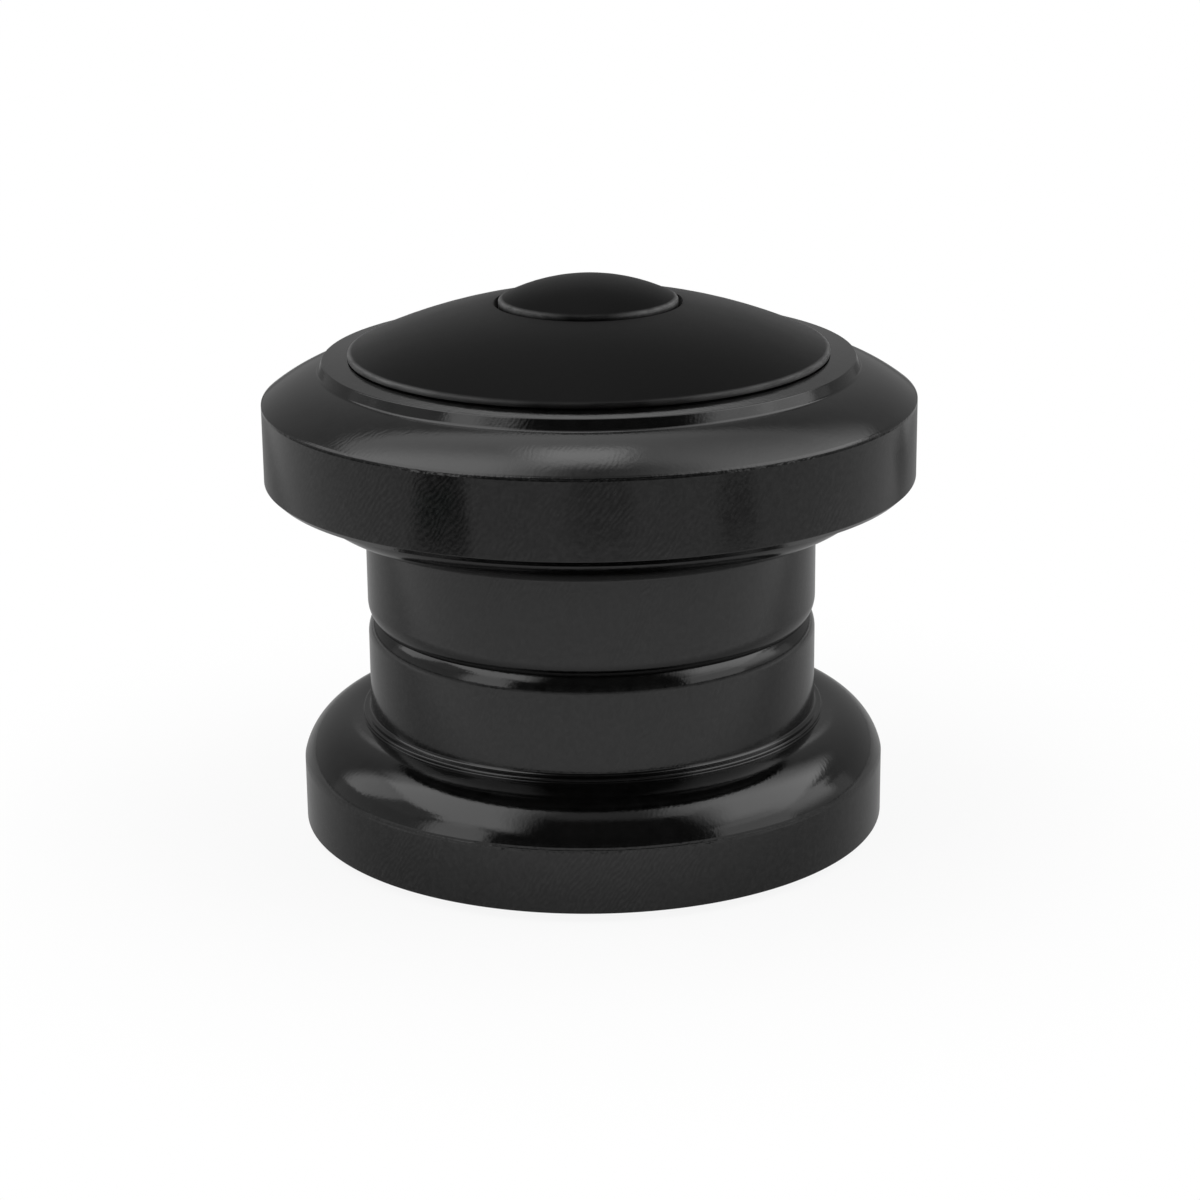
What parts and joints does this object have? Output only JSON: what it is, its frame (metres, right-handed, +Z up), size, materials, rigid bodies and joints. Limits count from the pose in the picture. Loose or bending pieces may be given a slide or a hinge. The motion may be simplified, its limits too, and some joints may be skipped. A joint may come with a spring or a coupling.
{
  "type": "bicycle headset",
  "caption": "Threadless bicycle headset with press-in cups, caged ball bearings, a skirted upper cover and a domed top cap over the preload bolt.",
  "frame": {"origin": "on the steering axis at the base of the crown race", "axes": "+Z up the steering axis, from the fork crown towards the top cap"},
  "size_m": [0.049, 0.049, 0.0422],
  "materials": {
    "black_anodised": "gloss black, polished and anodised",
    "cap_plastic": "satin black, moulded",
    "plug_plastic": "satin black, moulded",
    "bolt_steel": "zinc plated",
    "nut_steel": "zinc plated",
    "spring_steel": "blued spring steel",
    "seal_rubber": "matt black",
    "ring_alloy": "turned",
    "race_steel": "ground and hardened",
    "cage_nylon": "moulded",
    "ball_steel": "polished"
  },
  "bodies": {
    "cups": {"lower_cup": "black_anodised", "lower_cup_race": "race_steel", "upper_cup": "black_anodised", "upper_cup_race": "race_steel"},
    "cover": {"upper_cover": "black_anodised", "cover_o_ring": "seal_rubber", "compression_ring": "ring_alloy", "upper_cone": "race_steel", "upper_bearing_seal": "seal_rubber", "top_cap": "cap_plastic", "bolt_plug": "plug_plastic", "cap_bolt": "bolt_steel", "star_nut_barrel": "nut_steel", "star_washer_upper": "spring_steel", "star_washer_lower": "spring_steel"},
    "upper_retainer": {"upper_ball_cage": "cage_nylon", "upper_balls": "ball_steel"},
    "crown": {"crown_race": "race_steel", "crown_race_seal": "seal_rubber"},
    "lower_retainer": {"lower_ball_cage": "cage_nylon", "lower_balls": "ball_steel"}
  },
  "joints": [
    {"name": "upper_bearing_turn", "type": "hinge", "parent": "cups", "child": "cover", "pos_m": [0, 0, 0.0295], "axis": [0, 0, 1], "continuous": true},
    {"name": "upper_retainer_turn", "type": "hinge", "parent": "cups", "child": "upper_retainer", "pos_m": [0, 0, 0.0295], "axis": [0, 0, 1], "continuous": true},
    {"name": "lower_bearing_turn", "type": "hinge", "parent": "cups", "child": "crown", "pos_m": [0, 0, 0.0036], "axis": [0, 0, 1], "continuous": true},
    {"name": "lower_retainer_turn", "type": "hinge", "parent": "cups", "child": "lower_retainer", "pos_m": [0, 0, 0.0036], "axis": [0, 0, 1], "continuous": true}
  ],
  "couplings": [
    {"joint": "upper_retainer_turn", "follows": "upper_bearing_turn", "ratio": 0.46145},
    {"joint": "lower_retainer_turn", "follows": "lower_bearing_turn", "ratio": 0.46145}
  ]
}
